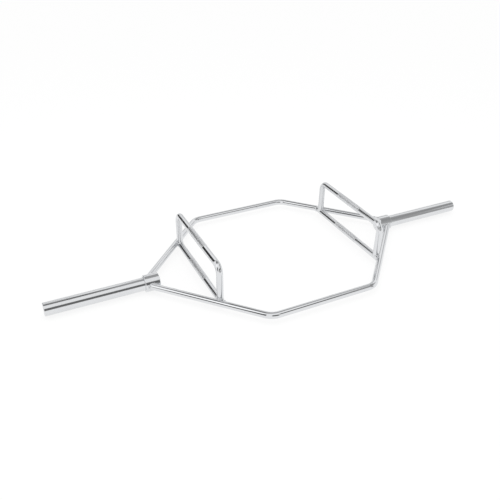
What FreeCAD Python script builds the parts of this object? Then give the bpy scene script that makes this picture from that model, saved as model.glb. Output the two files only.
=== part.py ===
"""Hex trap bar: a welded hexagon of round bar with low and raised handles and two plate sleeves.

Millimetres, +Z up. X runs along the sleeves, Y from front to rear. The origin is under the middle of
the hexagon, on the plane that the two plate collars rest on.
"""
import FreeCAD
import Part
import math
import os
from FreeCAD import Vector

# Sleeves and collars
LOAD_LENGTH = 360.0          # bare sleeve outside each collar, where the plates go
SLEEVE_DIAMETER = 50.0
SLEEVE_WALL = 4.0
SLEEVE_LEAD_IN = 2.0         # chamfer that guides a plate onto the sleeve
SPIGOT_STEP = 0.5            # the sleeve is turned down by this much, on the radius, inside its collar
COLLAR_WALL = 8.0
COLLAR_EDGE = 1.5            # broken outer edges of the collar
COLLAR_INNER_BAND = 2.0      # bare collar between the frame weld and the inner face
SLEEVE_FIT = 0.05            # radial clearance of the sleeve's spigot in its collar
SLEEVE_WELD = 3.0            # depth of the flush weld between sleeve and collar
DISC_FIT = 0.05              # radial clearance of the cap and the plug in the sleeve's bore
CAP_THICKNESS = 6.0          # disc that closes the sleeve's outer end
CAP_EDGE = 1.0
PLUG_THICKNESS = 8.0         # disc that closes the sleeve's inner end

# Frame and handles, all from the same round bar
BAR_DIAMETER = 25.0
FRAME_DEPTH = 738.0          # front bar to rear bar, between centrelines
FRAME_BEND = 60.0            # centreline radius of the frame's corners
HANDLE_SPACING = 676.0       # left handles to right handles, between centrelines
HANDLE_TO_FACE = 217.0       # handle centreline to the collar's plate face, along X
CORNER_INSET = 125.0         # frame corner inboard of the handle centreline, along X
APEX_OVERRUN = 2.8           # slanting centrelines meet the sleeve axis this far past the plate face
RAISED_HEIGHT = 141.0        # low handle to raised handle, between centrelines
HANDLE_BEND = 30.0           # centreline radius of the raised handle's corners
LEG_BITE = 6.8               # how far a raised handle's leg is let into the side of the frame bar
LEG_TIP = 5.0                # the leg's saddle stops this far above the low handle's axis
KNURL_LENGTH = 150.0
KNURL_RAISE = 0.3            # knurl crests above the plain bar

# Weld seams
FRAME_WELD = 4.0             # fillet radius where a frame bar lands on its collar
HANDLE_WELD = 5.0            # leg length of the seams at the handles
SEAM_STOP = 1.5              # a handle seam stops this far short of the bar's crest
FOOT_SEAM_FROM = -10.0       # the seam between a leg and the frame bar runs round the leg from this angle
FOOT_SEAM_TO = 50.0          # to this one, in degrees from the point nearest the bar towards the collar

# Places that follow from the sizes above
UP = Vector(0, 0, 1)
OUTWARD = Vector(1, 0, 0)
REARWARD = Vector(0, 1, 0)
REAR, FRONT = 1, -1

bar_radius = BAR_DIAMETER / 2
sleeve_radius = SLEEVE_DIAMETER / 2
spigot_radius = sleeve_radius - SPIGOT_STEP
bore_radius = spigot_radius + SLEEVE_FIT
collar_radius = bore_radius + COLLAR_WALL
disc_radius = sleeve_radius - SLEEVE_WALL - DISC_FIT
axis_height = collar_radius

handle_x = HANDLE_SPACING / 2
face_x = handle_x + HANDLE_TO_FACE
sleeve_end_x = face_x + LOAD_LENGTH
apex = Vector(face_x + APEX_OVERRUN, 0, axis_height)
corner = Vector(handle_x - CORNER_INSET, FRAME_DEPTH / 2, axis_height)

# The slanting run seen from above: it leaves the sleeve axis at slant_angle
slant = (corner - apex).normalize()
slant_angle = math.atan2(slant.y, -slant.x)
landing_x = apex.x - collar_radius / math.tan(slant_angle)
footprint = bar_radius / math.sin(slant_angle)
frame_weld_toe = FRAME_WELD / math.tan(slant_angle / 2)
inner_x = landing_x - footprint - frame_weld_toe - COLLAR_INNER_BAND

# Where the low handle crosses the slanting run, and where the legs of the raised handle stand
crossing = apex + slant * ((apex.x - handle_x) / -slant.x)
leg_to_bar = BAR_DIAMETER - LEG_BITE
leg_y = crossing.y - leg_to_bar / abs(slant.x)
grip_height = axis_height + RAISED_HEIGHT
seam_stop = bar_radius - SEAM_STOP


def half_turn(shape, axis):
    """The shape turned half round about an axis through the middle of the frame."""
    return shape.rotated(Vector(0, 0, axis_height), axis, 180)


def to_end(vector, end):
    """A rear point or direction kept (end 1), or carried over to the front (end -1)."""
    return Vector(vector.x, vector.y * end, vector.z)


def turned(profile):
    """Solid of revolution about the sleeve axis, from (x, radius) points."""
    points = [Vector(x, 0, axis_height + radius) for x, radius in profile]
    face = Part.Face(Part.makePolygon(points + points[:1]))
    return face.revolve(Vector(0, 0, axis_height), OUTWARD, 360).Solids[0]


def bent_bar(points, bend_radius):
    """Round bar along straight runs, with a tangent arc at each inner point."""
    edges = []
    start = points[0]
    for before, bend, after in zip(points, points[1:], points[2:]):
        toward = (bend - before).normalize()
        away = (after - bend).normalize()
        turn = toward.getAngle(away)
        setback = bend_radius * math.tan(turn / 2)
        arc_start = bend - toward * setback
        arc_end = bend + away * setback
        inward = (away - toward).normalize()
        sagitta = bend_radius / math.cos(turn / 2) - bend_radius
        edges.append(Part.LineSegment(start, arc_start).toShape())
        edges.append(Part.Arc(arc_start, bend + inward * sagitta, arc_end).toShape())
        start = arc_end
    edges.append(Part.LineSegment(start, points[-1]).toShape())
    section = Part.Wire(Part.makeCircle(bar_radius, points[0], points[1] - points[0]))
    return Part.Wire(edges).makePipe(Part.Face(section)).Solids[0]


def straight_bar(start, end):
    """Plain round bar between two points, its surface's joining line turned away from the crest."""
    bar = Part.makeCylinder(bar_radius, (end - start).Length, start, end - start)
    bar.rotate(start, end - start, 45)
    return bar


def knurled_band(middle):
    """Raised band with chamfered ends, along Y, that the knurl covers."""
    half = KNURL_LENGTH / 2
    outline = [(-half, 0), (-half, bar_radius), (KNURL_RAISE - half, bar_radius + KNURL_RAISE),
               (half - KNURL_RAISE, bar_radius + KNURL_RAISE), (half, bar_radius), (half, 0)]
    points = [middle + REARWARD * along + UP * radius for along, radius in outline]
    face = Part.Face(Part.makePolygon(points + points[:1]))
    return face.revolve(middle, REARWARD, 360).Solids[0]


def sleeve():
    """Plate sleeve: a tube with a spigot in the collar, a shoulder at the plate face and a chamfered end."""
    inside = sleeve_radius - SLEEVE_WALL
    return turned([(inner_x, inside), (inner_x, spigot_radius), (face_x, spigot_radius),
                   (face_x, sleeve_radius), (sleeve_end_x - SLEEVE_LEAD_IN, sleeve_radius),
                   (sleeve_end_x, sleeve_radius - SLEEVE_LEAD_IN), (sleeve_end_x, inside)])


def plate_collar():
    """Ring round the sleeve, with broken outer edges and a bevel for the sleeve weld at the inner face."""
    return turned([(inner_x + SLEEVE_WELD, bore_radius), (inner_x, bore_radius + SLEEVE_WELD),
                   (inner_x, collar_radius - COLLAR_EDGE), (inner_x + COLLAR_EDGE, collar_radius),
                   (face_x - COLLAR_EDGE, collar_radius), (face_x, collar_radius - COLLAR_EDGE),
                   (face_x, bore_radius)])


def sleeve_weld():
    """Seam that fills the collar's bevel, ground flush with the inner face."""
    return turned([(inner_x, spigot_radius), (inner_x + SLEEVE_WELD, spigot_radius),
                   (inner_x + SLEEVE_WELD, bore_radius), (inner_x, bore_radius + SLEEVE_WELD)])


def sleeve_end_cap():
    """Disc in the sleeve's outer end, with a broken rim."""
    inside_x = sleeve_end_x - CAP_THICKNESS
    return turned([(inside_x, 0), (inside_x, disc_radius), (sleeve_end_x - CAP_EDGE, disc_radius),
                   (sleeve_end_x, disc_radius - CAP_EDGE), (sleeve_end_x, 0)])


def sleeve_inner_plug():
    """Disc in the sleeve's inner end, flush with the collar's inner face."""
    outside_x = inner_x + PLUG_THICKNESS
    return turned([(inner_x, 0), (inner_x, disc_radius), (outside_x, disc_radius), (outside_x, 0)])


def collar_cylinder():
    """The collar's outer surface, run on past the crossing of the frame bars, to cope their ends with."""
    start = Vector(inner_x, 0, axis_height)
    return Part.makeCylinder(collar_radius, apex.x + BAR_DIAMETER - inner_x, start, OUTWARD)


def rear_frame_bar():
    """Rear half of the hexagon, from collar to collar, with both ends coped to the collars."""
    left_corner = Vector(-corner.x, corner.y, corner.z)
    left_apex = Vector(-apex.x, apex.y, apex.z)
    cope = collar_cylinder()
    bar = bent_bar([apex, corner, left_corner, left_apex], FRAME_BEND)
    return bar.cut([cope, half_turn(cope, UP)]).Solids[0]


def slanting_run(end):
    """Plain bar along a slanting run on the right, to cope and seam the handles with."""
    return straight_bar(to_end(apex, end), to_end(corner, end))


def plain_low_handle():
    """The right low handle before its ends are coped and its middle is knurled."""
    return straight_bar(to_end(crossing, FRONT), crossing)


def low_handle():
    """Right low handle: a straight knurled bar, both ends coped to the frame bars."""
    middle = Vector(handle_x, 0, axis_height)
    rear_half = straight_bar(middle, crossing).cut(slanting_run(REAR)).Solids[0]
    bar = rear_half.fuse([half_turn(rear_half, OUTWARD), knurled_band(middle)])
    return bar.removeSplitter().Solids[0]


def raised_handle():
    """Right raised handle: a bar bent to a U, with its feet coped over the low handle and the frame bars."""
    foot_height = axis_height + LEG_TIP
    route = [Vector(handle_x, -leg_y, foot_height), Vector(handle_x, -leg_y, grip_height),
             Vector(handle_x, leg_y, grip_height), Vector(handle_x, leg_y, foot_height)]
    band = knurled_band(Vector(handle_x, 0, grip_height))
    bar = bent_bar(route, HANDLE_BEND).fuse(band).removeSplitter()
    return bar.cut([plain_low_handle(), slanting_run(REAR), slanting_run(FRONT)]).Solids[0]


def axis_distance(point, on_axis, direction):
    """Distance of a point from an axis."""
    reach = point - on_axis
    return (reach - direction * reach.dot(direction)).Length


def on_frame_seam(edge):
    """True where an edge runs both on the collar's surface and on the rear slanting run's surface."""
    gap = 0.001
    points = edge.discretize(5)
    on_collar = [abs(axis_distance(point, apex, OUTWARD) - collar_radius) < gap for point in points]
    on_bar = [abs(axis_distance(point, apex, slant) - bar_radius) < gap for point in points]
    return all(on_collar + on_bar)


def frame_weld():
    """Concave seam round the end of the rear bar on the right collar."""
    collar = turned([(inner_x, 0), (inner_x, collar_radius), (face_x, collar_radius), (face_x, 0)])
    bar = slanting_run(REAR).cut(collar_cylinder())
    joined = collar.fuse(bar)
    seam = [edge for edge in joined.Edges if on_frame_seam(edge)]
    return joined.makeFillet(FRAME_WELD, seam).cut([collar, bar]).Solids[0]


def corner_seam(joint, along_a, along_b, across, reach):
    """Flat seam in the notch between two bars of one diameter whose centrelines cross.

    The two surfaces meet on half an ellipse in the plane that halves the notch. Moved along either bar,
    that half ellipse stays on the bar, so the seam's face runs from one copy of it to the other.

    Args:
        joint: the point where the centrelines cross.
        along_a: direction of one bar, away from the joint on the side of the notch.
        along_b: direction of the other bar, away from the joint on that side.
        across: direction square to both bars.
        reach: how far the seam runs each way from the joint along across, as (least, most).
    """
    halving = (along_a + along_b).normalize()
    seam_depth = bar_radius / math.sin(along_a.getAngle(along_b) / 2)
    ellipse = Part.Ellipse(joint + halving * seam_depth, joint + across * bar_radius, joint)
    least, most = (math.asin(distance / bar_radius) for distance in reach)
    arc = Part.ArcOfEllipse(ellipse, least, most).toShape()
    back = [joint + across * reach[1], joint + across * reach[0]]
    ends = [arc.valueAt(arc.LastParameter), arc.valueAt(arc.FirstParameter)]
    outline = [arc, Part.makeLine(ends[0], back[0]), Part.makeLine(*back), Part.makeLine(back[1], ends[1])]
    section = Part.Face(Part.Wire(outline))
    section.translate(along_a * HANDLE_WELD)
    block = section.extrude((along_b - along_a) * HANDLE_WELD)
    length = seam_depth + BAR_DIAMETER
    bars = [straight_bar(joint - way * length, joint + way * length) for way in (along_a, along_b)]
    return block.cut(bars).Solids[0]


def low_handle_seams(end):
    """Seams on both sides of one end of the right low handle, the outboard one up to the leg's tip."""
    joint = to_end(crossing, end)
    inward = REARWARD * -end
    run = to_end(slant, end)
    outboard = corner_seam(joint, inward, run * -1, UP, (-seam_stop, LEG_TIP))
    inboard = corner_seam(joint, inward, run, UP, (-seam_stop, seam_stop))
    return [outboard, inboard]


def foot_seams(end):
    """Seams at one foot of the right raised handle: one on the low handle, one on the frame bar."""
    foot = Vector(handle_x, leg_y * end, axis_height)
    on_handle = corner_seam(foot, REARWARD * -end, UP, OUTWARD, (-seam_stop, seam_stop))
    return [on_handle, leg_to_bar_seam(foot, end)]


def leg_to_bar_seam(foot, end):
    """Seam that slopes down from the side of a leg to the crest of the frame bar beside it.

    The leg's round section, slid down the slope, gives the seam its face.

    Args:
        foot: the point where the leg's centreline meets the low handle's.
        end: REAR or FRONT.
    """
    toward_bar = Vector(slant.y, -slant.x * end, 0)
    toward_collar = to_end(slant, end) * -1
    top = foot + UP * (bar_radius + HANDLE_WELD)
    leg_section = Part.Face(Part.Wire(Part.makeCircle(bar_radius, top, UP)))
    slope = leg_section.extrude((toward_bar - UP) * (HANDLE_WELD + SEAM_STOP))
    first, last = (bar_radius * math.sin(math.radians(turn)) for turn in (FOOT_SEAM_FROM, FOOT_SEAM_TO))
    low_edge = foot + toward_collar * first
    wide = toward_bar * (2 * BAR_DIAMETER)
    high = UP * (BAR_DIAMETER + HANDLE_WELD)
    stretch = Part.makePolygon([low_edge, low_edge + wide, low_edge + wide + high, low_edge + high, low_edge])
    block = Part.Face(stretch).extrude(toward_collar * (last - first))
    leg = straight_bar(foot, foot + UP * RAISED_HEIGHT)
    return slope.common(block).cut([leg, slanting_run(end)]).Solids[0]


def group(solids):
    """Separate solids that share one node."""
    return Part.makeCompound(solids)


def right_side():
    """Every sub-part of the right side, by name."""
    rear_weld = frame_weld()
    return {
        "sleeve": sleeve(),
        "plate_collar": plate_collar(),
        "sleeve_weld": sleeve_weld(),
        "sleeve_end_cap": sleeve_end_cap(),
        "sleeve_inner_plug": sleeve_inner_plug(),
        "frame_welds": group([rear_weld, half_turn(rear_weld, OUTWARD)]),
        "low_handle": low_handle(),
        "low_handle_welds": group(low_handle_seams(REAR) + low_handle_seams(FRONT)),
        "raised_handle": raised_handle(),
        "raised_handle_welds": group(foot_seams(REAR) + foot_seams(FRONT)),
    }


def build():
    """Every sub-part of the bar, by node name."""
    rear_bar = rear_frame_bar()
    nodes = {"rear_frame_bar": rear_bar, "front_frame_bar": half_turn(rear_bar, OUTWARD)}
    for name, shape in right_side().items():
        nodes["right_" + name] = shape
        nodes["left_" + name] = half_turn(shape, UP)
    return nodes


os.makedirs("parts", exist_ok=True)
for node, shape in build().items():
    shape.exportStep("parts/" + node + ".step")
    print(node, "solids", len(shape.Solids), "volume", round(shape.Volume, 1), "valid", shape.isValid())
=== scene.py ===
"""Chrome looks for the hex trap bar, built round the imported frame.

Metres, +Z up. X runs along the plate sleeves and Y from front to rear, as in the frame.
"""
from __future__ import annotations

import logging
import math
from dataclasses import dataclass
from enum import Enum
from typing import Any, Callable

import bmesh
import bpy
from bmesh.types import BMEdge, BMesh, BMFace, BMVert
from bpy.types import Material, Node, NodeSocket, NodeTree, Object, Scene
from mathutils import Matrix, Vector

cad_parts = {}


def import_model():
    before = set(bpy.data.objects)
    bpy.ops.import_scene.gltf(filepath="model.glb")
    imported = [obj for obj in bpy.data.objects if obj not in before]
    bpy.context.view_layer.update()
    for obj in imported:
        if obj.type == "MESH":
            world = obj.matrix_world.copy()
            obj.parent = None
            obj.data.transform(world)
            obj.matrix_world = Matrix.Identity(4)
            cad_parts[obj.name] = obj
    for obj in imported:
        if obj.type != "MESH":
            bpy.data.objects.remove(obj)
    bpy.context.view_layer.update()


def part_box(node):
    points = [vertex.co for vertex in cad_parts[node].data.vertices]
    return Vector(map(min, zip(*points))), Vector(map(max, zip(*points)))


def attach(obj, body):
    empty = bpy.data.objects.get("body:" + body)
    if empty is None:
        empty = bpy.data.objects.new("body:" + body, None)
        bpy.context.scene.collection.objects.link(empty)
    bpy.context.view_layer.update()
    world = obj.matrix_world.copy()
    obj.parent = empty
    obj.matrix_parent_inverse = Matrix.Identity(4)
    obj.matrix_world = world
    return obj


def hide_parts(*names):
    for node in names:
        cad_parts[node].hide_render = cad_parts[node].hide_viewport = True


log = logging.getLogger("hex_trap_bar")

UP = Vector((0, 0, 1))
OUTWARD = Vector((1, 0, 0))
REARWARD = Vector((0, 1, 0))
ROOT_BODY = "root"

Triple = tuple[float, float, float]
Profile = list[tuple[float, float]]
Route = Callable[[float], Vector]


class Side(Enum):
    """The two ends of the bar, by the sign of X."""

    LEFT = -1
    RIGHT = 1

    def node(self, part: str) -> str:
        """Name of a part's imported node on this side."""
        return f"{self.name.lower()}_{part}"


class End(Enum):
    """Front and rear, by the sign of Y."""

    FRONT = -1
    REAR = 1


class Grain(Enum):
    """What the fine marks in a finish follow."""

    DRAWN = "marks along a round bar"
    TURNED = "rings round the sleeve axis, close together along X"
    FACED = "rings round the sleeve axis, on a flat face"
    PITTED = "small dents with no direction"


@dataclass(frozen=True)
class BarLayout:
    """Where the frame, the sleeves and the handles lie, given for the right side and the rear.

    Attributes:
        bar_radius: radius of the round bar.
        axis_height: height of the sleeve axis, in the plane of the frame's centrelines.
        run_y: centreline of the straight run.
        handle_x: centreline of both handles.
        leg_y: centreline of a raised handle's leg.
        grip_height: height of the raised grip's centreline.
        inner_x: inner end of the sleeve and of its collar.
        face_x: face of the collar, where plates stop.
        sleeve_end_x: outer end of the sleeve.
        sleeve_radius: radius of the sleeve.
        collar_radius: radius of the collar.
        disc_radius: radius of the discs that close the sleeve.
        corner_x: where the slanting and the straight centrelines meet.
        apex_overrun: how far past the collar's face the slanting centrelines meet.
        frame_bend: radius of the frame's bends, to the centreline.
        handle_bend: radius of a raised handle's bends, to the centreline.
        knurl_length: length of the knurl on each grip.
        knurl_rise: height of the knurl's crests over the plain bar.
    """

    bar_radius: float
    axis_height: float
    run_y: float
    handle_x: float
    leg_y: float
    grip_height: float
    inner_x: float
    face_x: float
    sleeve_end_x: float
    sleeve_radius: float
    collar_radius: float
    disc_radius: float
    corner_x: float = 0.213
    apex_overrun: float = 0.0028
    frame_bend: float = 0.060
    handle_bend: float = 0.030
    knurl_length: float = 0.150
    knurl_rise: float = 0.0003

    @classmethod
    def read(cls) -> BarLayout:
        """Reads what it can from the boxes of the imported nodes.

        Returns:
            The layout, with the sizes that no box shows at their defaults.
        """
        bar_low, bar_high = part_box("rear_frame_bar")
        sleeve_low, sleeve_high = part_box("right_sleeve")
        collar_low, collar_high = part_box("right_plate_collar")
        cap_low, cap_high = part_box("right_sleeve_end_cap")
        low_handle_low, low_handle_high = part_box("right_low_handle")
        raised_low, raised_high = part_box("right_raised_handle")
        bar_radius = (bar_high.z - bar_low.z) / 2
        return cls(
            bar_radius=bar_radius,
            axis_height=(sleeve_low.z + sleeve_high.z) / 2,
            run_y=bar_high.y - bar_radius,
            handle_x=(low_handle_low.x + low_handle_high.x) / 2,
            leg_y=raised_high.y - bar_radius,
            grip_height=raised_high.z - bar_radius - cls.knurl_rise,
            inner_x=sleeve_low.x,
            face_x=collar_high.x,
            sleeve_end_x=sleeve_high.x,
            sleeve_radius=(sleeve_high.z - sleeve_low.z) / 2,
            collar_radius=(collar_high.z - collar_low.z) / 2,
            disc_radius=(cap_high.z - cap_low.z) / 2,
        )

    def place(self, side: Side, end: End, x: float, y: float, z: float = 0.0) -> Vector:
        """A right rear place carried to a side and an end, z counted from the sleeve axis."""
        return Vector((x * side.value, y * end.value, self.axis_height + z))

    def apex(self, side: Side, end: End) -> Vector:
        """Where a slanting centreline meets the sleeve axis."""
        return self.place(side, end, self.face_x + self.apex_overrun, 0)

    def corner(self, side: Side, end: End) -> Vector:
        """Where a slanting centreline meets the straight run."""
        return self.place(side, end, self.corner_x, self.run_y)

    def slant(self, side: Side, end: End) -> Vector:
        """Direction of a slanting run, away from the sleeve."""
        return (self.corner(side, end) - self.apex(side, end)).normalized()

    def crossing(self, side: Side, end: End) -> Vector:
        """Where the low handle's centreline meets a slanting centreline.

        Args:
            side: left or right.
            end: front or rear.

        Returns:
            The place.
        """
        apex = self.apex(side, end)
        slant = self.slant(side, end)
        return apex + slant * ((self.handle_x * side.value - apex.x) / slant.x)

    def foot(self, side: Side, end: End) -> Vector:
        """Where a raised handle's leg meets the low handle's centreline."""
        return self.place(side, end, self.handle_x, self.leg_y)


def add_node(tree: NodeTree, kind: str, inputs: dict[str | int, Any], **settings: str) -> Node:
    """Adds a shader node.

    Args:
        tree: the node tree.
        kind: the node's type, without the word they all start with.
        inputs: the socket to link or the value to set, for each input.
        settings: the node's own settings.

    Returns:
        The node.
    """
    node = tree.nodes.new(f"ShaderNode{kind}")
    for name, setting in settings.items():
        setattr(node, name, setting)
    for key, value in inputs.items():
        if isinstance(value, NodeSocket):
            tree.links.new(value, node.inputs[key])
        else:
            node.inputs[key].default_value = value
    return node


@dataclass(frozen=True)
class ChromeFinish:
    """Bright plating over one kind of surface.

    Attributes:
        name: name of the material.
        grain: what the fine marks follow.
        clear: colour of the plating where it is clearest.
        cloud: colour where it is a little clouded.
        least_roughness: roughness in the smoothest places.
        most_roughness: roughness in the marks.
        marks: fine marks per metre, or per turn of a bar for drawn marks.
        mark_depth: height of the fine marks in metres.
        axis_height: height of the sleeve axis, for rings on a flat face.
    """

    name: str
    grain: Grain
    clear: Triple
    cloud: Triple
    least_roughness: float
    most_roughness: float
    marks: float
    mark_depth: float
    axis_height: float = 0.0

    CLOUDS_PER_METRE = 14.0
    RIPPLES_PER_METRE = 60.0
    RIPPLE_DEPTH = 0.00006
    LENGTHWISE_MARKS = 5.0
    NOISE_DETAIL = 3.0
    SMOOTH_BELOW = 0.12
    ROUGH_ABOVE = 0.42

    def build(self) -> Material:
        """Makes the node material.

        Returns:
            The material, ready to be given to a mesh.
        """
        material = bpy.data.materials.new(self.name)
        material.use_nodes = True
        tree = material.node_tree
        clouds = self._noise(tree, self._object_place(tree), self.CLOUDS_PER_METRE)
        marks = self._noise(tree, self._grain_place(tree), 1.0)
        shader = tree.nodes["Principled BSDF"]
        shader.inputs["Metallic"].default_value = 1.0
        tree.links.new(self._tint(tree, clouds), shader.inputs["Base Color"])
        tree.links.new(self._gloss(tree, marks, clouds), shader.inputs["Roughness"])
        tree.links.new(self._relief(tree, marks), shader.inputs["Normal"])
        return material

    def _object_place(self, tree: NodeTree) -> NodeSocket:
        """Place on the piece, in metres."""
        return add_node(tree, "TexCoord", {}).outputs["Object"]

    def _grain_place(self, tree: NodeTree) -> NodeSocket:
        """Place that the fine marks are drawn by, one unit to a mark.

        Args:
            tree: node tree of the material.

        Returns:
            The place.
        """
        if self.grain is Grain.DRAWN:
            parts = {}
            for name, axis, scale in (("turn", "X", self.marks), ("run", "Y", self.LENGTHWISE_MARKS)):
                value = add_node(tree, "Attribute", {}, attribute_name=name).outputs["Fac"]
                parts[axis] = add_node(tree, "Math", {0: value, 1: scale}, operation="MULTIPLY").outputs[0]
            return add_node(tree, "CombineXYZ", parts).outputs[0]
        axes = {Grain.TURNED: (1, 0, 0), Grain.FACED: (0, 1, 1), Grain.PITTED: (1, 1, 1)}[self.grain]
        inputs = {
            "Vector": self._object_place(tree),
            "Location": (0, 0, -self.axis_height * self.marks),
            "Scale": [self.marks * axis for axis in axes],
        }
        place = add_node(tree, "Mapping", inputs).outputs[0]
        if self.grain is Grain.FACED:
            place = add_node(tree, "VectorMath", {0: place}, operation="LENGTH").outputs["Value"]
        return place

    def _noise(self, tree: NodeTree, place: NodeSocket, scale: float) -> NodeSocket:
        """Noise between 0 and 1 at a place, with so many cells to a unit of it."""
        inputs = {"Vector": place, "Scale": scale, "Detail": self.NOISE_DETAIL}
        return add_node(tree, "TexNoise", inputs).outputs["Fac"]

    def _tint(self, tree: NodeTree, clouds: NodeSocket) -> NodeSocket:
        """Colour that runs from clear to cloud with the slow noise."""
        inputs = {"A": (*self.clear, 1), "B": (*self.cloud, 1), "Factor": clouds}
        return add_node(tree, "Mix", inputs, data_type="RGBA").outputs["Result"]

    def _gloss(self, tree: NodeTree, marks: NodeSocket, clouds: NodeSocket) -> NodeSocket:
        """Roughness that runs from least to most with the marks and the clouds together.

        Args:
            tree: node tree of the material.
            marks: noise of the fine marks.
            clouds: slow noise.

        Returns:
            The roughness.
        """
        inputs = {
            "Value": add_node(tree, "Math", {0: marks, 1: clouds}, operation="MULTIPLY").outputs[0],
            "From Min": self.SMOOTH_BELOW,
            "From Max": self.ROUGH_ABOVE,
            "To Min": self.least_roughness,
            "To Max": self.most_roughness,
        }
        return add_node(tree, "MapRange", inputs).outputs["Result"]

    def _relief(self, tree: NodeTree, marks: NodeSocket) -> NodeSocket:
        """Normal with the fine marks over the slow ripple that plating has.

        Args:
            tree: node tree of the material.
            marks: noise of the fine marks.

        Returns:
            The normal.
        """
        ripple = self._noise(tree, self._object_place(tree), self.RIPPLES_PER_METRE)
        slow = add_node(tree, "Bump", {"Height": ripple, "Distance": self.RIPPLE_DEPTH}).outputs["Normal"]
        inputs = {"Height": marks, "Distance": self.mark_depth, "Normal": slow}
        return add_node(tree, "Bump", inputs).outputs["Normal"]


@dataclass(frozen=True)
class Finishes:
    """The finishes on the bar, one for each way its metal was worked."""

    bar: Material
    sleeve: Material
    disc: Material
    grip: Material
    weld: Material

    CLEAR = (0.76, 0.77, 0.78)
    CLOUD = (0.70, 0.71, 0.73)
    KNURL_CLEAR = (0.74, 0.75, 0.76)
    KNURL_CLOUD = (0.64, 0.65, 0.67)
    WELD_CLOUD = (0.72, 0.73, 0.75)

    @classmethod
    def build(cls, layout: BarLayout) -> Finishes:
        """Makes every material.

        Args:
            layout: where the sleeve axis lies.

        Returns:
            The materials.
        """
        bar = ChromeFinish(
            "bar_chrome", Grain.DRAWN, cls.CLEAR, cls.CLOUD,
            least_roughness=0.03, most_roughness=0.09, marks=90.0, mark_depth=0.000002,
        )
        sleeve = ChromeFinish(
            "sleeve_chrome", Grain.TURNED, cls.CLEAR, cls.CLOUD,
            least_roughness=0.08, most_roughness=0.16, marks=1800.0, mark_depth=0.000003,
        )
        disc = ChromeFinish(
            "disc_chrome", Grain.FACED, cls.CLEAR, cls.CLOUD,
            least_roughness=0.10, most_roughness=0.20, marks=1600.0, mark_depth=0.000004,
            axis_height=layout.axis_height,
        )
        grip = ChromeFinish(
            "knurl_chrome", Grain.PITTED, cls.KNURL_CLEAR, cls.KNURL_CLOUD,
            least_roughness=0.12, most_roughness=0.24, marks=2500.0, mark_depth=0.00001,
        )
        weld = ChromeFinish(
            "weld_chrome", Grain.PITTED, cls.CLEAR, cls.WELD_CLOUD,
            least_roughness=0.06, most_roughness=0.18, marks=700.0, mark_depth=0.00002,
        )
        return cls(*(finish.build() for finish in (bar, sleeve, disc, grip, weld)))


def object_from(mesh: BMesh, name: str, *materials: Material) -> Object:
    """Turns a finished bmesh into an object of the scene.

    Args:
        mesh: the shape, in its place. It is freed.
        name: the object's name.
        materials: materials, in the order of the faces' indexes.

    Returns:
        The object.
    """
    data = bpy.data.meshes.new(name)
    mesh.to_mesh(data)
    mesh.free()
    for material in materials:
        data.materials.append(material)
    made = bpy.data.objects.new(name, data)
    bpy.context.scene.collection.objects.link(made)
    return made


def piece_from(mesh: BMesh, node: str, shape: str, slot: str, *materials: Material) -> None:
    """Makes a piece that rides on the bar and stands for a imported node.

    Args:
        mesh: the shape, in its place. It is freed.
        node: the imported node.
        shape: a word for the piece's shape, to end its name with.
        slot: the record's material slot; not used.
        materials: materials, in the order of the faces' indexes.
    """
    bmesh.ops.recalc_face_normals(mesh, faces=mesh.faces)
    piece = object_from(mesh, f"{node}_{shape}", *materials)
    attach(piece, ROOT_BODY)
    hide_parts(node)
    log.info("%s: %d faces, stands for %s", piece.name, len(piece.data.polygons), node)


def smooth_below(mesh: BMesh, angle: float) -> None:
    """Shades faces smooth, with a sharp edge where two faces turn by more than an angle.

    Args:
        mesh: the shape.
        angle: the angle in degrees.
    """
    limit = math.radians(angle)
    for face in mesh.faces:
        face.smooth = True
    for edge in mesh.edges:
        edge.smooth = edge.calc_face_angle(0.0) < limit


@dataclass(frozen=True)
class Cylinder:
    """A round surface that the end of a bar or a bead sits on.

    Attributes:
        on_axis: a point on its axis.
        axis: direction of the axis.
        radius: its radius.
    """

    on_axis: Vector
    axis: Vector
    radius: float

    def leave(self, point: Vector, along: Vector) -> Vector:
        """The place where a line leaves the cylinder, or passes nearest to its axis if it misses it.

        Args:
            point: a point on the line.
            along: direction of the line.

        Returns:
            The point on the line.
        """
        across = self._square(point - self.on_axis)
        step = self._square(along)
        half_b = across.dot(step)
        inside = half_b**2 - step.length_squared * (across.length_squared - self.radius**2)
        return point + along * ((math.sqrt(max(inside, 0.0)) - half_b) / step.length_squared)

    def carry(self, route: Route, along: Vector) -> Route:
        """A route carried in a direction, to where it leaves the cylinder."""
        return lambda share: self.leave(route(share), along)

    def height(self, point: Vector) -> float:
        """Height of a level cylinder at a point in the plane of its axis, 0 beside it."""
        return math.sqrt(max(self.radius**2 - self._square(point - self.on_axis).length_squared, 0.0))

    def _square(self, vector: Vector) -> Vector:
        """The part of a vector that is square to the axis."""
        return vector - self.axis * vector.dot(self.axis)


def new_ring(geometry: list) -> tuple[list[BMVert], list[BMEdge]]:
    """Picks the ring that an operator made out of what it returned.

    Args:
        geometry: what the operator returned.

    Returns:
        The ring's vertices, and the edges between them.
    """
    ring = [item for item in geometry if isinstance(item, BMVert)]
    fresh = set(ring)
    edges = [item for item in geometry if isinstance(item, BMEdge) and fresh.issuperset(item.verts)]
    return ring, edges


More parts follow.
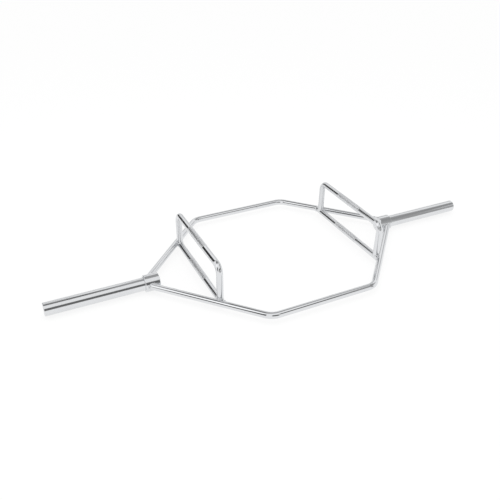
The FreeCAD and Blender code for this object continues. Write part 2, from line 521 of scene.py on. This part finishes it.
class RoundBar:
    """Round bar that one ring of edges draws by being extruded and spun along a route.

    The ring leaves two numbers on each vertex for the drawn marks: its turn round the bar, and its run
    along it. PLAIN and KNURLED are the faces' material indexes.
    """

    PLAIN, KNURLED = 0, 1
    GUARD = 0.002
    SMOOTH_ANGLE = 30.0

    def __init__(self, radius: float, start: Vector, along: Vector, segments: int) -> None:
        """Makes the first ring.

        Args:
            radius: radius of the bar.
            start: centre of the ring.
            along: direction that the bar sets out in.
            segments: edges in the ring.
        """
        self.radius = radius
        self.at = start.copy()
        self.along = along.normalized()
        self.segments = segments
        self.length = 0.0
        self.mesh = bmesh.new()
        self.turn_layer = self.mesh.verts.layers.float.new("turn")
        self.run_layer = self.mesh.verts.layers.float.new("run")
        facing = self.along.to_track_quat("Z", "Y").to_matrix().to_4x4()
        self.zero_turn = facing.to_3x3() @ OUTWARD
        made = bmesh.ops.create_circle(
            self.mesh, segments=segments, radius=radius, matrix=Matrix.Translation(start) @ facing
        )
        self.ring: list[BMVert] = made["verts"]
        self.edges: list[BMEdge] = list(self.mesh.edges)
        self.first_ring, self.first_edges, self.first_along = self.ring, self.edges, self.along
        self._mark()

    def _turn_of(self, vert: BMVert) -> float:
        """Turn of a ring's vertex round the bar.

        Args:
            vert: the vertex.

        Returns:
            From 0 to 1.
        """
        spoke = vert.co - self.at
        angle = math.atan2(spoke.dot(self.along.cross(self.zero_turn)), spoke.dot(self.zero_turn))
        return (angle / math.tau) % 1.0

    def _mark(self) -> None:
        """Writes the turn and the run on the ring's vertices, the turn folded so that it has no seam."""
        for vert in self.ring:
            vert[self.turn_layer] = abs(2 * self._turn_of(vert) - 1)
            vert[self.run_layer] = self.length

    def run(self, length: float) -> list[BMFace]:
        """Goes straight on.

        Args:
            length: how far.

        Returns:
            The new faces.
        """
        made = bmesh.ops.extrude_edge_only(self.mesh, edges=self.edges)["geom"]
        self.ring, self.edges = new_ring(made)
        bmesh.ops.translate(self.mesh, vec=self.along * length, verts=self.ring)
        self.at += self.along * length
        self.length += length
        self._mark()
        return [item for item in made if isinstance(item, BMFace)]

    def bend(self, toward: Vector, bend_radius: float, steps: int) -> None:
        """Turns into a new direction round an arc, with a short straight guard before and after it.

        The guards keep the turn out of the long runs' shading.

        Args:
            toward: the new direction.
            bend_radius: radius of the arc, to the bar's centreline.
            steps: rings along the arc.
        """
        self.run(self.GUARD)
        axis = self.along.cross(toward).normalized()
        centre = self.at + axis.cross(self.along) * bend_radius
        step = self.along.angle(toward) / steps
        turning = Matrix.Rotation(step, 3, axis)
        for _ in range(steps):
            made = bmesh.ops.spin(
                self.mesh, geom=self.ring + self.edges, cent=centre, axis=axis, angle=step, steps=1
            )["geom_last"]
            self.ring, self.edges = new_ring(made)
            self.length += step * bend_radius
            self.at = centre + turning @ (self.at - centre)
            self.along = turning @ self.along
            self.zero_turn = turning @ self.zero_turn
            self._mark()
        self.run(self.GUARD)

    def resize(self, radius: float) -> None:
        """Gives the ring another radius."""
        for vert in self.ring:
            vert.co = self.at + (vert.co - self.at).normalized() * radius

    def knurl(self, length: float, rise: float, depth: float) -> None:
        """Goes on through a diamond knurl, one pyramid to each two ring edges.

        Each vertex of the grid is a crest or lies in a groove, turn about, and each cell is split along its
        two groove points, so the grooves run round the bar both ways.

        Args:
            length: length of the knurled stretch.
            rise: height of the crests over the plain bar.
            depth: depth of the grooves under the crests.
        """
        rows = round(length / (math.tau * self.radius / self.segments))
        cells: list[BMFace] = []
        for row in range(1, rows):
            cells += self.run(length / rows)
            for vert in self.ring:
                crest = (round(self._turn_of(vert) * self.segments) + row) % 2 == 0
                height = rise if crest else rise - depth
                vert.co = self.at + (vert.co - self.at).normalized() * (self.radius + height)
        cells += self.run(length / rows)
        self.resize(self.radius)
        for face in bmesh.ops.triangulate(self.mesh, faces=cells, quad_method="SHORT_EDGE")["faces"]:
            face.material_index = self.KNURLED

    def cope(self, first_seat: Cylinder, last_seat: Cylinder) -> None:
        """Slides both end rings along the bar until they sit on what they are welded to.

        Args:
            first_seat: what the first ring sits on.
            last_seat: what the last ring sits on.
        """
        for vert in self.first_ring:
            vert.co = first_seat.leave(vert.co, self.first_along)
        for vert in self.ring:
            vert.co = last_seat.leave(vert.co, -self.along)

    def close(self) -> BMesh:
        """Closes both ends and shades the bar smooth outside its knurl.

        Returns:
            The mesh.
        """
        bmesh.ops.contextual_create(self.mesh, geom=self.first_edges)
        bmesh.ops.contextual_create(self.mesh, geom=self.edges)
        smooth_below(self.mesh, self.SMOOTH_ANGLE)
        for face in self.mesh.faces:
            face.smooth = face.material_index == self.PLAIN
        return self.mesh


@dataclass(frozen=True)
class WeldBead:
    """A rippled bead of weld along a joint.

    Attributes:
        radius: radius of the bead.
        ripple: length of one ripple.
        ripple_depth: how far the bead draws in between ripples, as a share of its radius.
        taper: share of the way over which an open bead thins out at each end.
        thinnest: radius at its tips, as a share of the bead's.
        rings_to_ripple: rings that draw one ripple.
        segments: edges in a ring.
    """

    radius: float
    ripple: float = 0.0024
    ripple_depth: float = 0.10
    taper: float = 0.08
    thinnest: float = 0.2
    rings_to_ripple: int = 6
    segments: int = 16

    LENGTH_SAMPLES = 400
    FEWEST_RIPPLES = 4
    LOOK_AHEAD = 0.002

    def lay(self, mesh: BMesh, route: Route, closed: bool) -> None:
        """Draws the bead into a mesh.

        Args:
            mesh: the mesh that takes the bead.
            route: the joint's points, for a share from 0 to 1 of the way.
            closed: True where the bead comes back to its start; otherwise it thins out at both ends.
        """
        points = [route(index / self.LENGTH_SAMPLES) for index in range(self.LENGTH_SAMPLES + 1)]
        length = sum((b - a).length for a, b in zip(points, points[1:]))
        ripples = max(round(length / self.ripple), self.FEWEST_RIPPLES)
        count = ripples * self.rings_to_ripple
        places = [self._ring_place(route, index / count, ripples, closed) for index in range(count + 1)]
        if closed:
            places.pop()
        made = bmesh.ops.create_circle(mesh, segments=self.segments, radius=1.0, matrix=places[0])
        ring = made["verts"]
        first = edges = list({edge for vert in ring for edge in vert.link_edges})
        for before, after in zip(places, places[1:]):
            ring, edges = new_ring(bmesh.ops.extrude_edge_only(mesh, edges=edges)["geom"])
            bmesh.ops.transform(mesh, matrix=after @ before.inverted(), verts=ring)
        if closed:
            bmesh.ops.bridge_loops(mesh, edges=first + edges)
        else:
            bmesh.ops.contextual_create(mesh, geom=first)
            bmesh.ops.contextual_create(mesh, geom=edges)

    def _ring_place(self, route: Route, share: float, ripples: int, closed: bool) -> Matrix:
        """Matrix that carries a unit circle to the bead's ring.

        Args:
            route: the joint's points.
            share: how far along the joint.
            ripples: ripples on the whole bead.
            closed: True where the bead has no ends.

        Returns:
            The matrix, the ring's radius included.
        """
        ahead = route(share + self.LOOK_AHEAD) - route(share - self.LOOK_AHEAD)
        swell = 1 - self.ripple_depth * (1 - abs(math.sin(math.pi * ripples * share)))
        if not closed:
            from_tip = min(share, 1 - share, self.taper) / self.taper
            swell *= max(math.sin(math.pi / 2 * from_tip), self.thinnest)
        facing = ahead.to_track_quat("Z", "Y").to_matrix().to_4x4()
        return Matrix.Translation(route(share)) @ facing @ Matrix.Scale(self.radius * swell, 4)


@dataclass(frozen=True)
class BarGroup:
    """A group of pieces of the bar.

    Attributes:
        layout: where everything lies.
        finishes: the materials.
    """

    layout: BarLayout
    finishes: Finishes


@dataclass(frozen=True)
class SideGroup(BarGroup):
    """A group of pieces that the bar has on both sides.

    Attributes:
        side: left or right.
    """

    side: Side


@dataclass(frozen=True)
class HexFrame(BarGroup):
    """The two bent bars of the hexagon.

    Attributes:
        segments: edges round a bar.
        bend_steps: rings along a bend.
        sink: how far a coped end goes into the collar.
    """

    segments: int = 96
    bend_steps: int = 24
    sink: float = 0.001

    def build(self) -> None:
        """Builds the front and the rear bar."""
        for end in End:
            self._bar(end)

    def _bar(self, end: End) -> None:
        """Builds one bar from the right collar to the left one.

        Args:
            end: front or rear.
        """
        layout = self.layout
        slant = layout.slant(Side.RIGHT, end)
        setback = layout.frame_bend * math.tan(slant.angle(-OUTWARD) / 2) + RoundBar.GUARD
        start = layout.apex(Side.RIGHT, end) + slant * (2 * layout.collar_radius)
        slant_length = (layout.corner(Side.RIGHT, end) - start).length - setback
        bar = RoundBar(layout.bar_radius, start, slant, self.segments)
        bar.run(slant_length)
        bar.bend(-OUTWARD, layout.frame_bend, self.bend_steps)
        bar.run(2 * (layout.corner_x - setback))
        bar.bend(-layout.slant(Side.LEFT, end), layout.frame_bend, self.bend_steps)
        bar.run(slant_length)
        seat = Cylinder(UP * layout.axis_height, OUTWARD, layout.collar_radius - self.sink)
        bar.cope(seat, seat)
        node = f"{end.name.lower()}_frame_bar"
        piece_from(bar.close(), node, "tube", "frame_chrome", self.finishes.bar)


@dataclass(frozen=True)
class PlateSleeve(SideGroup):
    """One plate sleeve, with its collar, its weld and the discs that close it.

    Attributes:
        wall: wall of the sleeve.
        lead_in: bevel at the outer end of the sleeve.
        spigot_step: how much the sleeve is turned down where the collar holds it.
        fit: gap between the sleeve and the collar's bore.
        weld: leg of the flush weld in the collar's inner face.
        collar_edge: bevel on the collar's rims.
        cap_thickness: thickness of the disc in the outer end.
        cap_edge: bevel on that disc's rim.
        plug_thickness: thickness of the disc in the inner end.
        edge_round: rounding of every sharp edge.
        guard: distance of a guard point from an edge.
        guarded_length: length from which a profile's line gets guard points.
        segments: steps round the axis.
        round_segments: faces across a rounded edge.
    """

    wall: float = 0.004
    lead_in: float = 0.002
    spigot_step: float = 0.0005
    fit: float = 0.00005
    weld: float = 0.003
    collar_edge: float = 0.0015
    cap_thickness: float = 0.006
    cap_edge: float = 0.001
    plug_thickness: float = 0.008
    edge_round: float = 0.0002
    guard: float = 0.001
    guarded_length: float = 0.004
    segments: int = 160
    round_segments: int = 2

    MERGE_WITHIN = 1e-6
    SHARP_ANGLE = 30.0
    SMOOTH_ANGLE = 40.0

    def build(self) -> None:
        """Builds the sleeve and the four pieces on it."""
        layout = self.layout
        finishes = self.finishes
        inner, face, end = layout.inner_x, layout.face_x, layout.sleeve_end_x
        outside = layout.sleeve_radius
        inside = outside - self.wall
        spigot = outside - self.spigot_step
        bore = spigot + self.fit
        collar = layout.collar_radius
        rim = layout.disc_radius
        tube = [
            (inner, inside), (inner, spigot), (face, spigot), (face, outside),
            (end - self.lead_in, outside), (end, outside - self.lead_in), (end, inside),
        ]
        ring = [
            (inner + self.weld, bore), (inner, bore + self.weld),
            (inner, collar - self.collar_edge), (inner + self.collar_edge, collar),
            (face - self.collar_edge, collar), (face, collar - self.collar_edge), (face, bore),
        ]
        seam = [
            (inner, spigot), (inner + self.weld, spigot),
            (inner + self.weld, bore), (inner, bore + self.weld),
        ]
        cap = [
            (end - self.cap_thickness, 0), (end - self.cap_thickness, rim),
            (end - self.cap_edge, rim), (end, rim - self.cap_edge), (end, 0),
        ]
        plug = [
            (inner, 0), (inner, rim),
            (inner + self.plug_thickness, rim), (inner + self.plug_thickness, 0),
        ]
        self._turned("sleeve", "tube", "sleeve_chrome", finishes.sleeve, tube)
        self._turned("plate_collar", "ring", "frame_chrome", finishes.sleeve, ring)
        self._turned("sleeve_weld", "seam", "weld_chrome", finishes.weld, seam)
        self._turned("sleeve_end_cap", "disc", "sleeve_chrome", finishes.disc, cap)
        self._turned("sleeve_inner_plug", "disc", "sleeve_chrome", finishes.disc, plug)

    def _guarded(self, profile: Profile) -> Profile:
        """Adds a point close to each end of the longer lines.

        The guards keep the rounded edges out of the shading of the long faces.

        Args:
            profile: (x, radius) points.

        Returns:
            The points with the guards between them.
        """
        outline = [profile[0]]
        for start, stop in zip(profile, profile[1:]):
            length = math.dist(start, stop)
            if length > self.guarded_length:
                for share in (self.guard / length, 1 - self.guard / length):
                    outline.append(tuple(a + (b - a) * share for a, b in zip(start, stop)))
            outline.append(stop)
        return outline

    def _turned(self, part: str, shape: str, slot: str, finish: Material, profile: Profile) -> None:
        """Spins a profile round the sleeve axis and rounds its edges.

        Args:
            part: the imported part's name, without its side.
            shape: a word for the piece's shape, to end its name with.
            slot: the record's material slot.
            finish: the piece's material.
            profile: (x, radius) points of the right piece, which close up off the axis.
        """
        mesh = bmesh.new()
        centre = UP * self.layout.axis_height
        hollow = profile[0][1] > 0
        outline = self._guarded(profile + profile[:1] if hollow else profile)
        if hollow:
            outline.pop()
        outward = OUTWARD * self.side.value
        verts = [mesh.verts.new(centre + outward * x + UP * radius) for x, radius in outline]
        pairs = list(zip(verts, verts[1:]))
        if hollow:
            pairs.append((verts[-1], verts[0]))
        edges = [mesh.edges.new(pair) for pair in pairs]
        bmesh.ops.spin(
            mesh, geom=verts + edges, cent=centre, axis=OUTWARD,
            angle=math.tau, steps=self.segments, use_merge=True,
        )
        bmesh.ops.remove_doubles(mesh, verts=mesh.verts, dist=self.MERGE_WITHIN)
        bmesh.ops.recalc_face_normals(mesh, faces=mesh.faces)
        limit = math.radians(self.SHARP_ANGLE)
        sharp = [edge for edge in mesh.edges if edge.calc_face_angle(0.0) > limit]
        bmesh.ops.bevel(
            mesh, geom=sharp, offset=self.edge_round, affect="EDGES",
            segments=self.round_segments, profile=0.5, material=-1, clamp_overlap=True,
        )
        smooth_below(mesh, self.SMOOTH_ANGLE)
        piece_from(mesh, self.side.node(part), shape, slot, finish)


@dataclass(frozen=True)
class Handles(SideGroup):
    """The low and the raised handle of one side.

    Attributes:
        segments: edges round a bar, two to a diamond of the knurl.
        bend_steps: rings along a bend.
        groove_depth: depth of the knurl's grooves under its crests.
        sink: how far a coped end goes into the bar it stands on.
    """

    segments: int = 108
    bend_steps: int = 24
    groove_depth: float = 0.00007
    sink: float = 0.0005

    def build(self) -> None:
        """Builds both handles."""
        self._low_handle()
        self._raised_handle()

    def _grip(self, bar: RoundBar, length: float) -> None:
        """Goes on straight, with the knurl in the middle.

        Args:
            bar: the bar that goes on.
            length: the whole straight length.
        """
        beside = (length - self.layout.knurl_length) / 2
        bar.run(beside)
        bar.knurl(self.layout.knurl_length, self.layout.knurl_rise, self.groove_depth)
        bar.run(beside)

    def _low_handle(self) -> None:
        """Builds the straight handle between the slanting runs, coped to them."""
        layout = self.layout
        front, rear = (layout.crossing(self.side, end) for end in End)
        bar = RoundBar(layout.bar_radius, front, REARWARD, self.segments)
        self._grip(bar, (rear - front).length)
        front_run, rear_run = (layout.slant(self.side, end) for end in End)
        bar.cope(self._seat(front, front_run), self._seat(rear, rear_run))
        self._dress(bar, "low_handle")

    def _raised_handle(self) -> None:
        """Builds the U over the low handle, its feet coped to it."""
        layout = self.layout
        front, rear = (layout.foot(self.side, end) for end in End)
        setback = layout.handle_bend + RoundBar.GUARD
        leg = layout.grip_height - layout.axis_height - setback
        bar = RoundBar(layout.bar_radius, front, UP, self.segments)
        bar.run(leg)
        bar.bend(REARWARD, layout.handle_bend, self.bend_steps)
        self._grip(bar, (rear - front).length - 2 * setback)
        bar.bend(-UP, layout.handle_bend, self.bend_steps)
        bar.run(leg)
        bar.cope(self._seat(front, REARWARD), self._seat(rear, REARWARD))
        self._dress(bar, "raised_handle")

    def _seat(self, on_axis: Vector, axis: Vector) -> Cylinder:
        """What a coped end sits on, a little under the surface of the bar there."""
        return Cylinder(on_axis, axis, self.layout.bar_radius - self.sink)

    def _dress(self, bar: RoundBar, part: str) -> None:
        """Closes a handle's bar and makes it a piece."""
        finishes = self.finishes
        piece_from(bar.close(), self.side.node(part), "grip", "grip_chrome", finishes.bar, finishes.grip)


@dataclass(frozen=True)
class SideWelds(SideGroup):
    """The weld beads of one side.

    Attributes:
        frame_bead: bead round a frame bar's end.
        handle_bead: bead on the handles.
        notch_turn: how far a low handle's beads reach up and down, in degrees from level.
        foot_gap: where the bead round a foot starts and stops, in degrees from inboard.
        blend_power: how tightly that bead follows the corner between the two bars under it.
    """

    frame_bead: WeldBead = WeldBead(0.0034)
    handle_bead: WeldBead = WeldBead(0.0028)
    notch_turn: float = 68.0
    foot_gap: float = 18.0
    blend_power: float = 8.0

    SMOOTH_ANGLE = 60.0

    def build(self) -> None:
        """Builds the beads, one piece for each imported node."""
        self._piece("frame_welds", self._frame_beads)
        self._piece("low_handle_welds", self._low_handle_beads)
        self._piece("raised_handle_welds", self._foot_beads)

    def _piece(self, part: str, lay: Callable[[BMesh, End], None]) -> None:
        """Lays the beads of both ends into one piece.

        Args:
            part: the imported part's name, without its side.
            lay: method that lays the beads of one end.
        """
        mesh = bmesh.new()
        for end in End:
            lay(mesh, end)
        smooth_below(mesh, self.SMOOTH_ANGLE)
        piece_from(mesh, self.side.node(part), "beads", "weld_chrome", self.finishes.weld)

    def _frame_beads(self, mesh: BMesh, end: End) -> None:
        """Lays the bead round the end of a frame bar on the collar.

        Args:
            mesh: the mesh that takes the bead.
            end: front or rear.
        """
        apex = self.layout.apex(self.side, end)
        slant = self.layout.slant(self.side, end)
        collar = Cylinder(apex, OUTWARD, self.layout.collar_radius)
        rim = self._rim(apex, slant.cross(UP), UP, 0, 360)
        self.frame_bead.lay(mesh, collar.carry(rim, slant), closed=True)

    def _low_handle_beads(self, mesh: BMesh, end: End) -> None:
        """Lays the two beads where a low handle's end meets a slanting run.

        Args:
            mesh: the mesh that takes the beads.
            end: front or rear.
        """
        layout = self.layout
        joint = layout.crossing(self.side, end)
        frame_run = Cylinder(joint, layout.slant(self.side, end), layout.bar_radius)
        inward = REARWARD * -end.value
        for across in (OUTWARD, -OUTWARD):
            rim = self._rim(joint, across, UP, -self.notch_turn, self.notch_turn)
            self.handle_bead.lay(mesh, frame_run.carry(rim, inward), closed=False)

    def _foot_beads(self, mesh: BMesh, end: End) -> None:
        """Lays the bead round a raised handle's foot, over the low handle and the slanting run.

        Args:
            mesh: the mesh that takes the bead.
            end: front or rear.
        """
        layout = self.layout
        joint = layout.crossing(self.side, end)
        axes = (REARWARD, layout.slant(self.side, end))
        bars = [Cylinder(joint, axis, layout.bar_radius) for axis in axes]
        inboard = OUTWARD * -self.side.value
        rim = self._rim(layout.foot(self.side, end), inboard, REARWARD, self.foot_gap, 360 - self.foot_gap)

        def route(share: float) -> Vector:
            """Point of the joint round the leg.

            Args:
                share: how far round, from 0 to 1.

            Returns:
                The point.
            """
            point = rim(share)
            lift = sum(bar.height(point) ** self.blend_power for bar in bars) ** (1 / self.blend_power)
            return point + UP * lift

        self.handle_bead.lay(mesh, route, closed=False)

    def _rim(self, centre: Vector, start: Vector, quarter: Vector, first: float, last: float) -> Route:
        """Route round the rim of a bar.

        Args:
            centre: middle of the rim.
            start: direction of angle 0.
            quarter: direction of angle 90.
            first: angle where the route starts, in degrees.
            last: angle where it stops.

        Returns:
            The route.
        """

        def route(share: float) -> Vector:
            """Point at a share of the way."""
            turn = math.radians(first + (last - first) * share)
            return centre + (start * math.cos(turn) + quarter * math.sin(turn)) * self.layout.bar_radius

        return route


@dataclass(frozen=True)
class StudioCard:
    """A card in the tent that the chrome reflects, placed by angles from the middle of the bar.

    Attributes:
        name: what a photographer would call it.
        azimuth: first and last angle round the bar in degrees, 0 at the right and 90 at the rear.
        elevation: lowest and highest angle over the floor in degrees, past 0 or 90 to have no edge there.
        level: brightness, where 1 is white.
        soft: width of its soft edge in degrees.
    """

    name: str
    azimuth: tuple[float, float]
    elevation: tuple[float, float]
    level: float
    soft: float = 6.0

    def cover(self, azimuth: float, elevation: float) -> float:
        """Share of a direction that the card covers.

        Args:
            azimuth: the direction's angle round the bar in degrees.
            elevation: its angle over the floor in degrees.

        Returns:
            From 0, beside the card, to 1, on it.
        """
        first, last = self.azimuth
        lowest, highest = self.elevation
        from_middle = abs((azimuth - (first + last) / 2 + 180) % 360 - 180)
        reach = ((last - first) / 2 - from_middle, elevation - lowest, highest - elevation)
        shares = [min(max(room / self.soft + 0.5, 0.0), 1.0) for room in reach]
        return math.prod(share * share * (3 - 2 * share) for share in shares)


@dataclass(frozen=True)
class Studio:
    """Floor, tent, lamp, surroundings and camera.

    Attributes:
        floor_size: length of the square floor's sides.
        floor_tint: brightness of the floor's paint.
        floor_glow: share of plain white in the floor where it is seen; the rest takes the shadow.
        tent_radius: radius of the dome.
        tent_segments: steps round the dome.
        tent_level: brightness of its bare cloth, where 1 is white.
        cards: cards in the tent, each over those before it.
        lamp_size: side of the square lamp.
        lamp_power: its power in watts.
        lamp_at: its middle.
        lens: focal length of the camera in millimetres.
        sensor: width of its sensor in millimetres.
        sight: how far it sees.
        camera_at: where it stands.
        look_at: the point in the middle of its picture.
        roll: how far it leans, in degrees.
    """

    floor_size: float = 60.0
    floor_tint: float = 0.93
    floor_glow: float = 0.82
    tent_radius: float = 6.0
    tent_segments: int = 180
    tent_level: float = 1.0
    cards: tuple[StudioCard, ...] = (
        StudioCard("front left flag", (-165, -140), (5, 45), 0.10),
        StudioCard("front flag", (-110, -75), (5, 40), 0.15),
        StudioCard("right high card", (-45, 5), (30, 55), 0.35),
        StudioCard("right card", (-50, -35), (-5, 40), 0.40),
        StudioCard("front right flag", (-70, -50), (25, 45), 0.05),
        StudioCard("rear ceiling", (5, 85), (45, 95), 0.40),
        StudioCard("left ceiling", (85, 175), (60, 95), 0.20),
        StudioCard("rear strip", (10, 100), (15, 25), 0.50),
        StudioCard("rear flag, foot", (100, 135), (-5, 20), 0.0),
        StudioCard("rear flag", (110, 130), (20, 45), 0.0),
        StudioCard("rear flag, head", (95, 120), (45, 50), 0.0),
        StudioCard("left window", (180, 205), (30, 65), 1.35),
    )
    lamp_size: float = 2.4
    lamp_power: float = 22.0
    lamp_at: Triple = (-0.4, -0.5, 2.6)
    lens: float = 41.045
    sensor: float = 36.0
    sight: float = 50.0
    camera_at: Triple = (-0.9566, -1.7072, 1.2737)
    look_at: Triple = (-0.0977, 0.0454, 0.03255)
    roll: float = 0.644

    def build(self) -> None:
        """Sets up everything round the bar."""
        scene = bpy.context.scene
        scene.view_settings.view_transform = "Standard"
        self._world(scene)
        self._floor()
        self._tent()
        self._lamp()
        self._camera(scene)

    def _seen_directly(self, tree: NodeTree) -> NodeSocket:
        """1 for camera, glossy and transmission rays, and 0 for the rays that only light.

        Args:
            tree: the node tree that asks.

        Returns:
            The socket.
        """
        path = add_node(tree, "LightPath", {})
        total = path.outputs["Is Camera Ray"]
        for name in ("Is Glossy Ray", "Is Transmission Ray"):
            inputs = {0: total, 1: path.outputs[name]}
            total = add_node(tree, "Math", inputs, operation="MAXIMUM").outputs[0]
        return total

    def _world(self, scene: Scene) -> None:
        """White surroundings that light the bar at a plain level.

        Args:
            scene: the scene that gets them.
        """
        world = bpy.data.worlds.new("white_surroundings")
        scene.world = world
        world.use_nodes = True
        background = world.node_tree.nodes["Background"]
        background.inputs["Color"].default_value = (1, 1, 1, 1)
        background.inputs["Strength"].default_value = 1.0

    def _floor(self) -> None:
        """Pale floor that keeps a faint shadow."""
        material = bpy.data.materials.new("pale_floor")
        material.use_nodes = True
        tree = material.node_tree
        tree.nodes.remove(tree.nodes["Principled BSDF"])
        matt = add_node(tree, "BsdfDiffuse", {"Color": (*(self.floor_tint,) * 3, 1)})
        glow = add_node(tree, "Emission", {})
        seen = self._seen_directly(tree)
        share = add_node(tree, "Math", {0: seen, 1: self.floor_glow}, operation="MULTIPLY")
        inputs = {"Fac": share.outputs[0], 1: matt.outputs[0], 2: glow.outputs[0]}
        mixed = add_node(tree, "MixShader", inputs)
        tree.links.new(mixed.outputs[0], tree.nodes["Material Output"].inputs["Surface"])
        mesh = bmesh.new()
        bmesh.ops.create_grid(mesh, x_segments=1, y_segments=1, size=self.floor_size / 2)
        object_from(mesh, "floor", material)

    def _tent(self) -> None:
        """White dome with grey and dark cards, which only the chrome sees."""
        material = bpy.data.materials.new("tent_cloth")
        material.use_nodes = True
        tree = material.node_tree
        tree.nodes.remove(tree.nodes["Principled BSDF"])
        shade = add_node(tree, "Attribute", {}, attribute_name="shade")
        glow = add_node(tree, "Emission", {"Strength": shade.outputs["Fac"]})
        tree.links.new(glow.outputs[0], tree.nodes["Material Output"].inputs["Surface"])
        mesh = bmesh.new()
        layer = mesh.verts.layers.float.new("shade")
        bmesh.ops.create_uvsphere(
            mesh, u_segments=self.tent_segments, v_segments=self.tent_segments // 2, radius=self.tent_radius
        )
        sphere = mesh.verts[:] + mesh.edges[:] + mesh.faces[:]
        bmesh.ops.bisect_plane(mesh, geom=sphere, plane_co=Vector(), plane_no=UP, clear_inner=True)
        for vert in mesh.verts:
            vert[layer] = self._shade(vert.co)
        tent = object_from(mesh, "tent", material)
        tent.visible_camera = False
        tent.visible_diffuse = False
        tent.visible_shadow = False
        tent.visible_transmission = False
        log.info("tent cards: %s", "; ".join(card.name for card in self.cards))

    def _shade(self, place: Vector) -> float:
        """Brightness of the tent at a place on it.

        Args:
            place: the place.

        Returns:
            The brightness, where 1 is white.
        """
        azimuth = math.degrees(math.atan2(place.y, place.x))
        elevation = math.degrees(math.asin(min(place.z / self.tent_radius, 1.0)))
        level = self.tent_level
        for card in self.cards:
            level += (card.level - level) * card.cover(azimuth, elevation)
        return level

    def _lamp(self) -> None:
        """Large soft lamp overhead, for the shadow under the bar."""
        lamp = bpy.data.lights.new("overhead_softbox", "AREA")
        lamp.size = self.lamp_size
        lamp.energy = self.lamp_power
        placed = bpy.data.objects.new("overhead_softbox", lamp)
        placed.location = self.lamp_at
        placed.visible_glossy = False
        bpy.context.scene.collection.objects.link(placed)

    def _camera(self, scene: Scene) -> None:
        """Camera at the photograph's viewing angle.

        Args:
            scene: the scene that gets it.
        """
        camera = bpy.data.objects.new("camera", bpy.data.cameras.new("camera"))
        camera.data.lens = self.lens
        camera.data.sensor_width = self.sensor
        camera.data.clip_end = self.sight
        at = Vector(self.camera_at)
        aim = (Vector(self.look_at) - at).to_track_quat("-Z", "Y").to_matrix().to_4x4()
        lean = Matrix.Rotation(math.radians(self.roll), 4, "Z")
        camera.matrix_world = Matrix.Translation(at) @ aim @ lean
        scene.collection.objects.link(camera)
        scene.camera = camera


def main() -> None:
    """Builds the bar's looks and the studio round them."""
    logging.basicConfig(level=logging.INFO, format="%(name)s: %(message)s")
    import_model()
    layout = BarLayout.read()
    finishes = Finishes.build(layout)
    HexFrame(layout, finishes).build()
    for side in Side:
        for group in (PlateSleeve, Handles, SideWelds):
            group(layout, finishes, side).build()
    Studio().build()


if __name__ == "__main__":
    main()
